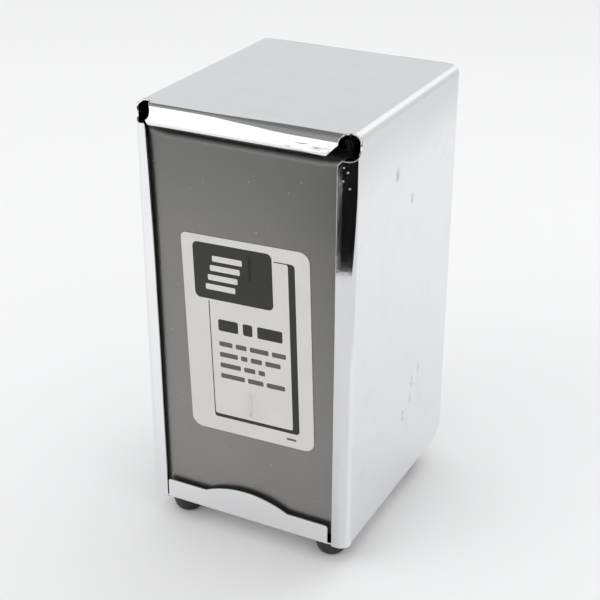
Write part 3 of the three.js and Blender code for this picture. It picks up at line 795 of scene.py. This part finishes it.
def tube(name, path, radius, sides=10):
    """A round wire along a path, with domed ends."""
    tangents = unit(np.gradient(path, axis=0))
    side = unit(np.cross(tangents[0], [0.1, 1, 0.2]))
    points, normals = [], []
    angles = np.linspace(0, 2 * math.pi, sides, endpoint=False)
    last = len(path) - 1
    dome = ((0.25, 0.85), (0.6, 0.45))
    rings = [(0, -forward, scale) for forward, scale in reversed(dome)]
    rings += [(i, 0, 1) for i in range(len(path))]
    rings += [(last, forward, scale) for forward, scale in dome]
    for i, forward, scale in rings:
        side = unit(side - tangents[i] * np.dot(side, tangents[i]))
        other = np.cross(tangents[i], side)
        round_ = np.outer(np.cos(angles), side) + np.outer(np.sin(angles), other)
        points.append(path[i] + tangents[i] * forward * radius + round_ * radius * scale)
        normals.append(unit(round_ + tangents[i] * forward))
    rings = [list(range(i * sides, (i + 1) * sides)) for i in range(len(points))]
    faces = between(rings) + [rings[0][::-1], rings[-1]]
    return new_piece(name, np.concatenate(points), faces, np.concatenate(normals))


# --- turned pieces ---


def turned(name, profile, centre, axis, steps):
    """A solid of revolution from (radius, height) pairs that start and end on the axis, or close up."""
    rings, points = [], []
    for radius, height in profile:
        angles = [2 * math.pi * k / steps for k in range(steps if radius else 1)]
        rings.append([len(points) + k for k in range(len(angles))])
        points += [(radius * math.cos(a), radius * math.sin(a), height) for a in angles]
    closed = profile[0][0] > 0
    faces = between(rings + rings[:1] if closed else rings)
    points = np.array(points, float)
    if axis == "y":
        points = np.stack([points[:, 0], points[:, 2], -points[:, 1]], axis=1)
    piece = new_piece(name, points + np.array(centre), faces)
    piece.data.flip_normals()
    return piece


def eased(profile, radius, steps=4):
    """A closed profile with its corners rounded."""
    out = []
    for i, here in enumerate(profile):
        p, a, b = Vector(here), Vector(profile[i - 1]), Vector(profile[(i + 1) % len(profile)])
        u, v = a - p, b - p
        reach = min(radius, u.length * 0.45, v.length * 0.45)
        start, end = p + u.normalized() * reach, p + v.normalized() * reach
        for t in np.linspace(0, 1, steps):
            q = start * (1 - t) ** 2 + p * 2 * t * (1 - t) + end * t * t
            out.append(tuple(q))
    return out


# --- materials ---


class Nodes:
    """A node tree, with a short call for each kind of node. Values are numbers, tuples or nodes' outputs."""

    def __init__(self, owner):
        owner.use_nodes = True
        self.tree = owner.node_tree
        self.tree.nodes.clear()
        self.coordinates = self.add("TexCoord").outputs
        self.position = self.coordinates["Object"]

    def put(self, target, value):
        if isinstance(value, bpy.types.NodeSocket):
            self.tree.links.new(value, target)
        elif isinstance(value, tuple) and target.type == "RGBA":
            target.default_value = (*value, 1)
        else:
            target.default_value = value

    def add(self, kind, inputs=None, **settings):
        node = self.tree.nodes.new(f"ShaderNode{kind}")
        for name, value in settings.items():
            setattr(node, name, value)
        for name, value in (inputs or {}).items():
            self.put(node.inputs[name], value)
        return node

    def math(self, operation, a, b=0.0, clamp=False):
        return self.add("Math", {0: a, 1: b}, operation=operation, use_clamp=clamp).outputs[0]

    def plus(self, a, b, clamp=False):
        return self.math("ADD", a, b, clamp)

    def times(self, a, b, clamp=False):
        return self.math("MULTIPLY", a, b, clamp)

    def scaled(self, factors):
        return self.add("Mapping", {"Vector": self.position, "Scale": factors}).outputs[0]

    def noise(self, scale, detail=3, roughness=0.5, vector=None, distortion=0.0):
        inputs = {"Vector": vector or self.position, "Scale": scale, "Detail": detail}
        inputs |= {"Roughness": roughness, "Distortion": distortion}
        return self.add("TexNoise", inputs).outputs["Fac"]

    def cells(self, scale):
        return self.add("TexVoronoi", {"Vector": self.position, "Scale": scale}).outputs["Distance"]

    def distance(self, point, stretch):
        """How far a place is from a point, with each direction counted more or less."""
        target = tuple(p * k for p, k in zip(point, stretch))
        between = {0: self.scaled(stretch), 1: target}
        return self.add("VectorMath", between, operation="DISTANCE").outputs["Value"]

    def axis(self, name):
        return self.add("SeparateXYZ", {0: self.position}).outputs[name]

    def ramp(self, value, low, high, to_low=0.0, to_high=1.0):
        inputs = {"Value": value, "From Min": low, "From Max": high, "To Min": to_low, "To Max": to_high}
        return self.add("MapRange", inputs, interpolation_type="SMOOTHSTEP").outputs[0]

    def mix(self, share, first, second):
        return self.add("Mix", {0: share, 6: first, 7: second}, data_type="RGBA").outputs[2]

    def bump(self, height, strength, distance, **normal):
        inputs = {"Height": height, "Strength": strength, "Distance": distance}
        return self.add("Bump", inputs | normal).outputs[0]


class Finish(Nodes):
    """A material with one Principled BSDF."""

    def __init__(self, name):
        self.material = bpy.data.materials.new(name)
        super().__init__(self.material)
        self.bsdf = self.add("BsdfPrincipled")
        self.add("OutputMaterial", {"Surface": self.bsdf.outputs[0]})

    def set(self, **values):
        for name, value in values.items():
            self.put(self.bsdf.inputs[name.replace("_", " ").title().replace("Ior", "IOR")], value)


# Scuffs on the right side, as (back, up, size), and specks on the right lip, as (right, up).
SCUFFS = ((-12, 163, 3.6), (4, 147.5, 2.8), (19, 62, 2.8), (12, 58.5, 3.2), (11, 50.5, 2.8), (3, 45.5, 3.2))
LIP_SPECKS = ((43.4, 178.6), (44.9, 176.8), (43.2, 173.4), (45.6, 170.5))


def spots(m, places, stretch, share):
    """Marks at places, each with the radius where it starts and the radius where it is full."""
    total = 0.0
    for *place, outer, full in places:
        centre = tuple(p * MM for p in place)
        near = m.ramp(m.distance(centre, stretch), outer * MM, full * MM)
        total = m.plus(total, m.times(near, share))
    return total


def chrome_material():
    """Bright plating with faint clouds, smudges, hairline scratches, dust and scuffs."""
    m = Finish("chrome_plate")
    cloud = m.noise(38, 4, 0.55)
    smudge = m.ramp(m.noise(75, 5, 0.65, distortion=0.6), 0.52, 0.75)
    hairlines = m.ramp(m.noise(1, 2, 0.5, m.scaled((90, 60, 2600))), 0.64, 0.8)
    specks = m.ramp(m.cells(430), 0.13, 0.07)
    dust = m.times(specks, m.ramp(m.noise(120, 2), 0.58, 0.68, 0, 0.4))
    lip_specks = [(x, FRONT + 0.4, z, 0.55, 0.2) for x, z in LIP_SPECKS]
    side_scuffs = [(HALF_W, y, z, size, 0.3 * size) for y, z, size in SCUFFS]
    dust = m.plus(dust, spots(m, lip_specks, (1, 0.4, 1), 0.6))
    marks = spots(m, side_scuffs, (1, 1.4, 0.8), m.ramp(m.noise(520, 3, 0.7), 0.38, 0.52))
    rough = m.plus(m.ramp(cloud, 0.3, 0.7, 0.04, 0.07), m.times(smudge, 0.06))
    rough = m.plus(rough, m.times(hairlines, 0.05))
    rough = m.plus(rough, m.times(m.plus(dust, marks), 0.35))
    tint = m.mix(smudge, (0.84, 0.842, 0.846), (0.80, 0.802, 0.805))
    tint = m.mix(m.times(marks, 0.45, True), tint, (0.45, 0.45, 0.44))
    m.set(base_color=tint, metallic=m.math("SUBTRACT", 1.0, m.times(dust, 0.7)), roughness=rough)
    wave = m.bump(m.noise(14, 1, 0.4), 0.03, 0.004)
    m.set(normal=m.bump(m.plus(m.noise(900, 2), hairlines), 0.01, 0.0004, Normal=wave))
    return m.material


def follower_material():
    """Satin grey, darker towards the top, with scratches and chips."""
    m = Finish("follower_grey_paint")
    mottle = m.noise(260, 4, 0.6)
    cloud = m.noise(30, 3, 0.5)
    scratch = m.ramp(m.noise(1, 2, 0.6, m.scaled((420, 420, 110)), 1.5), 0.74, 0.79)
    chips = m.times(m.ramp(m.cells(330), 0.13, 0.07), m.ramp(m.noise(90, 2), 0.53, 0.6))
    marks = m.plus(scratch, chips, True)
    z = m.axis("Z")
    lower = m.plus(m.ramp(z, 0.178, 0.130, 0, 0.5), m.ramp(z, 0.14, 0.01, 0, 0.5))
    base = m.mix(lower, (0.176, 0.175, 0.170), (0.283, 0.276, 0.265))
    base = m.mix(m.ramp(cloud, 0.3, 0.75, 0, 0.12), base, (0.16, 0.16, 0.158))
    base = m.mix(m.times(marks, 0.5), base, (0.6, 0.59, 0.57))
    rough = m.plus(m.ramp(mottle, 0.3, 0.7, 0.30, 0.36), m.times(marks, 0.1))
    m.set(base_color=base, metallic=0.92, roughness=rough)
    m.set(normal=m.bump(mottle, 0.05, 0.0003))
    return m.material


def paper_material(name, colour, rough):
    m = Finish(name)
    fibre = m.noise(700, 4, 0.7)
    stain = m.noise(60, 3)
    lighter = tuple(c * 1.04 for c in colour)
    m.set(base_color=m.mix(m.ramp(stain, 0.35, 0.7), colour, lighter), specular_ior_level=0.25)
    m.set(roughness=m.ramp(fibre, 0.3, 0.7, rough, rough + 0.12))
    m.set(normal=m.bump(fibre, 0.05, 0.0002))
    return m.material


def rubber_material():
    m = Finish("foot_rubber")
    grain = m.noise(900, 3, 0.6)
    dust = m.ramp(m.noise(160, 4, 0.6), 0.5, 0.72)
    m.set(base_color=m.mix(dust, (0.012, 0.0115, 0.011), (0.03, 0.029, 0.028)))
    m.set(roughness=m.ramp(grain, 0.3, 0.7, 0.42, 0.6))
    m.set(normal=m.bump(grain, 0.12, 0.0003))
    return m.material


def steel_material(name, colour, rough):
    m = Finish(name)
    grain = m.noise(1, 3, 0.6, m.scaled((900, 900, 200)))
    tarnish = m.ramp(m.noise(220, 4, 0.6), 0.5, 0.8)
    dull = tuple(c * 0.7 for c in colour)
    base = m.mix(m.times(tarnish, 0.5), colour, dull)
    m.set(base_color=base, metallic=1.0, roughness=m.ramp(grain, 0.3, 0.7, rough, rough + 0.14))
    m.set(normal=m.bump(grain, 0.06, 0.0003))
    return m.material


# --- pieces ---

chrome = chrome_material()
spring_steel = steel_material("spring_wire_steel", (0.42, 0.41, 0.4), 0.28)
zinc = steel_material("zinc_plate", (0.6, 0.61, 0.62), 0.3)
rivet_steel = steel_material("rivet_plate", (0.68, 0.69, 0.7), 0.16)
rubber = rubber_material()


def finish_piece(piece, body, slot, materials, *nodes):
    for material in materials:
        piece.data.materials.append(material)
    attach(piece, body)
    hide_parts(*nodes)


finish_piece(make_shell(), "case", "body_chrome", [chrome], "shell")
finish_piece(make_chassis(), "case", "body_chrome", [chrome], "chassis")
finish_piece(make_follower(), "follower", "follower_grey", [follower_material()], "follower_plate")
papers = [
    paper_material("label_paper", (0.65, 0.638, 0.605), 0.45),
    paper_material("label_ink", (0.035, 0.034, 0.032), 0.4),
    paper_material("label_grey_ink", (0.11, 0.108, 0.1), 0.42),
]
finish_piece(make_label(), "follower", "label_paper", papers, "refill_label")

for level, height in SPRING_HEIGHTS.items():
    spring = tube(f"spring_{level}_wire", spring_path(height), WIRE)
    finish_piece(spring, "case", "spring_steel", [spring_steel], f"spring_{level}")
    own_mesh(spring)

FOOT = {"bore": 2.3, "recess": 3.5, "recess_depth": 6.3, "sole": 4.6, "rounding": 0.7}


def foot_profile(radius, bottom, top):
    """A rubber foot: the rivet's bore, a recess below it, the sole and a sloping outside."""
    recess_top = bottom + FOOT["recess_depth"]
    bore = [(FOOT["bore"], top), (FOOT["bore"], recess_top)]
    recess = [(FOOT["recess"], recess_top), (FOOT["recess"], bottom)]
    outside = [(5.8, bottom + 1.2), (6.6, bottom + 3.5), (radius, top - 1.0), (radius, top)]
    return eased(bore + recess + [(FOOT["sole"], bottom)] + outside, FOOT["rounding"])


def raised(profile, by):
    return [(radius, height + by) for radius, height in profile]


def foot_rivet_profile(low, high):
    """A rivet with one head in the foot's recess and the other on the floor of the box."""
    lower = ((0, 0), (1.4, 0.05), (2.5, 0.25), (3.0, 0.7), (3.1, 1.3), (2.0, 1.3))
    upper = ((2.0, -1.0), (3.2, -1.0), (3.0, -0.4), (2.0, -0.08), (0, 0))
    return raised(lower, low) + raised(upper, high)


def wall_rivet_profile(low, high):
    """A rivet through the back wall, with a flat head inside and a domed one outside."""
    flat = ((0, 0), (1.4, 0.05), (2.3, 0.3), (2.7, 0.9), (1.6, 0.9))
    dome = ((1.6, 0), (3.05, 0), (3.1, 0.12), (2.95, 0.4), (2.5, 0.65), (1.7, 0.85), (0.9, 0.93))
    return raised(flat, low) + raised(dome, REAR + 0.05) + [(0, high)]


def finish_stud(node, profile, centre, axis):
    stud = turned(f"{node}_stud", profile, centre, axis, 36)
    finish_piece(stud, "case", "rivet_steel", [rivet_steel], node)


def finish_clip(piece):
    piece.data.materials.clear()
    piece.data.materials.append(zinc)
    bevel = piece.modifiers.new("edges", "BEVEL")
    bevel.width = 0.15 * MM
    bevel.segments = 2
    bevel.limit_method = "ANGLE"


for node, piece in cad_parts.items():
    low, high = node_box(node)
    x, y, z = (low + high) / 2
    if node.startswith("foot_rivet"):
        finish_stud(node, foot_rivet_profile(low.z, high.z), (x, y, 0), "z")
    elif node.startswith("foot_"):
        foot = turned(f"{node}_rubber", foot_profile(high.x - x, low.z, high.z), (x, y, 0), "z", 64)
        finish_piece(foot, "case", "foot_rubber", [rubber], node)
    elif "rivet" in node:
        finish_stud(node, wall_rivet_profile(low.y, high.y), (x, 0, z), "y")
    elif node.startswith("spring_clip"):
        finish_clip(piece)


# --- floor, light and camera ---

FLOOR_RADIUS = 4  # metres
# The floor's white near the box, and the painted shade it fades to far behind.
FLOOR_WHITE_AND_PAINTED_FALLOFF = {"near": 0.93, "behind": 0.86}
# Painted light and shade that only the plating's reflections show: how much lighter or greyer the floor is
# in the plating ahead of the left lip, ahead of the right lip and round to the right of it, and at the right
# rear.
PAINTED_REFLECTION_LIGHT_AND_SHADE = {"left": 0.07, "right": -0.15, "rear": -0.15}

# A dark card that stands round the front in an arc, from one angle to another, measured from straight ahead
# towards the right. Its lower edge rises at the far end.
CARD = {"centre": (44, -50), "radius": 265, "from": -26, "to": 132, "foot": 14, "top": 92}
CARD_RISE = {"from": 80, "by": 50}

# Patches of sky seen in the plating: the direction of each, how many degrees from it the patch starts and is
# full, and its brightness outside and inside.
SKY_FRONT = ((-0.3, -0.9, 0.1), 75, 40, 0.78, 1.35)
SKY_OVERHEAD = ((-0.41, -0.2, 0.89), 57, 48, 1.0, 0.25)
SKY_REAR = ((0.3, 0.8, 0.5), 34, 4, 0.0, 1.12)
SKY_SEEN = 0.93
SKY_LIGHT = 0.91


def stage_piece(name, points, faces, material):
    mesh = bpy.data.meshes.new(name)
    mesh.from_pydata(points, [], faces)
    mesh.materials.append(material)
    piece = add_object(name, mesh)
    return piece


def floor_material():
    """White paper, with painted shade that greys it a little far behind. Where the plating reflects it,
    painted light and shade make it lighter or greyer.
    """
    m = Finish("floor_white_and_painted_shade")
    x, y = m.axis("X"), m.axis("Y")
    # Painted shade: the floor turns darker far behind, as if less light fell there.
    paper = m.ramp(y, 0.3, 1.1, FLOOR_WHITE_AND_PAINTED_FALLOFF["near"], FLOOR_WHITE_AND_PAINTED_FALLOFF["behind"])
    lip_x = (HALF_W - SIDE_LIP - 0.9) * MM
    ahead = m.math("SUBTRACT", FRONT * MM, y)
    angle = m.math("ARCTAN2", m.math("SUBTRACT", x, lip_x), ahead)
    regions = {
        "left": (m.ramp(ahead, 0.03, 0.07), m.ramp(angle, -0.65, -0.80)),
        "right": (m.ramp(angle, -0.459, -0.440), m.ramp(angle, 1.9, 1.1)),
        "rear": (m.ramp(angle, 1.1, 1.9), m.ramp(x, 0.20, 0.26)),
    }
    # Painted light and shade in the floor's colour, for reflection rays only: lighter ahead of the left lip,
    # greyer to the right.
    painted_reflection_change = 0.0
    for name, (first, second) in regions.items():
        painted_reflection_change = m.plus(painted_reflection_change, m.times(m.times(first, second), PAINTED_REFLECTION_LIGHT_AND_SHADE[name]))
    reflected = m.add("LightPath").outputs["Is Glossy Ray"]
    m.set(base_color=m.plus(paper, m.times(reflected, painted_reflection_change)), roughness=0.7)
    return m.material


def make_floor():
    steps = 64
    ring = [(x, y, 0) for x, y in arc(0, 0, FLOOR_RADIUS, 0, 2 * math.pi, steps)[:-1]]
    stage_piece("floor", ring, [list(range(steps))], floor_material())


def make_dark_card():
    """Seen only in reflections, it makes the black strip in the right lip."""
    points = []
    for degrees in np.linspace(CARD["from"], CARD["to"], 40):
        angle = math.radians(degrees)
        past = max((degrees - CARD_RISE["from"]) / (CARD["to"] - CARD_RISE["from"]), 0)
        x = CARD["centre"][0] + CARD["radius"] * math.sin(angle)
        y = CARD["centre"][1] - CARD["radius"] * math.cos(angle)
        for z in (CARD["foot"] + CARD_RISE["by"] * past**1.5, CARD["top"]):
            points.append((x * MM, y * MM, z * MM))
    faces = [[2 * i, 2 * i + 1, 2 * i + 3, 2 * i + 2] for i in range(len(points) // 2 - 1)]
    m = Finish("dark_cloth")
    m.set(base_color=(0.008, 0.008, 0.008), roughness=1.0, specular_ior_level=0.0)
    card = stage_piece("dark_card", points, faces, m.material)
    card.visible_camera = False
    card.visible_shadow = False
    card.visible_diffuse = False


def make_world():
    """A plain sky, with brighter and darker patches that only the plating shows."""
    world = bpy.data.worlds.new("studio")
    bpy.context.scene.world = world
    m = Nodes(world)

    def patch(towards, start, full, outside, inside):
        direction = tuple(Vector(towards).normalized())
        facing = m.add("VectorMath", {0: m.coordinates["Generated"], 1: direction}, operation="DOT_PRODUCT")
        start, full = math.cos(math.radians(start)), math.cos(math.radians(full))
        return m.ramp(facing.outputs["Value"], start, full, outside, inside)

    glow = m.math("MAXIMUM", m.times(patch(*SKY_FRONT), patch(*SKY_OVERHEAD)), patch(*SKY_REAR))
    path = m.add("LightPath").outputs
    shown = m.plus(path["Is Camera Ray"], path["Is Glossy Ray"])
    strength = m.plus(m.times(path["Is Camera Ray"], SKY_SEEN), m.times(path["Is Glossy Ray"], glow))
    strength = m.plus(strength, m.times(m.math("SUBTRACT", 1.0, shown), SKY_LIGHT))
    background = m.add("Background", {"Color": (0.985, 0.99, 1.0), "Strength": strength})
    m.add("OutputWorld", {0: background.outputs[0]})


def make_light(name, place, size, power):
    light = bpy.data.lights.new(name, "AREA")
    light.size = size
    light.energy = power
    lamp = add_object(name, light)
    lamp.location = place
    lamp.rotation_euler = (-Vector(place)).to_track_quat("-Z", "Y").to_euler()
    lamp.visible_glossy = False


CAMERA = {"azimuth": 26.97, "elevation": 26.19, "roll": -0.174, "lens": 80.1}
CAMERA_PLACE = (235.3, -464.7, FLOOR + 338.8)


def make_camera():
    """The photograph's viewing angle: from above and to the right of the open front."""
    azimuth, elevation = math.radians(CAMERA["azimuth"]), math.radians(CAMERA["elevation"])
    level = math.cos(elevation)
    back = Vector((math.sin(azimuth) * level, -math.cos(azimuth) * level, math.sin(elevation)))
    camera = add_object("camera", bpy.data.cameras.new("camera"))
    camera.data.lens = CAMERA["lens"]
    camera.data.sensor_width = 36
    camera.data.clip_start = 0.01
    turn = back.to_track_quat("Z", "Y").to_matrix() @ Matrix.Rotation(math.radians(-CAMERA["roll"]), 3, "Z")
    camera.matrix_world = Matrix.Translation(Vector(CAMERA_PLACE) * MM) @ turn.to_4x4()
    bpy.context.scene.camera = camera


make_floor()
make_dark_card()
make_world()
make_light("key", (0.5, 1.2, 1.7), 1.0, 4.5)
make_light("fill", (-0.7, -1.1, 1.2), 1.0, 3.5)
make_camera()
bpy.context.scene.view_settings.view_transform = "Standard"
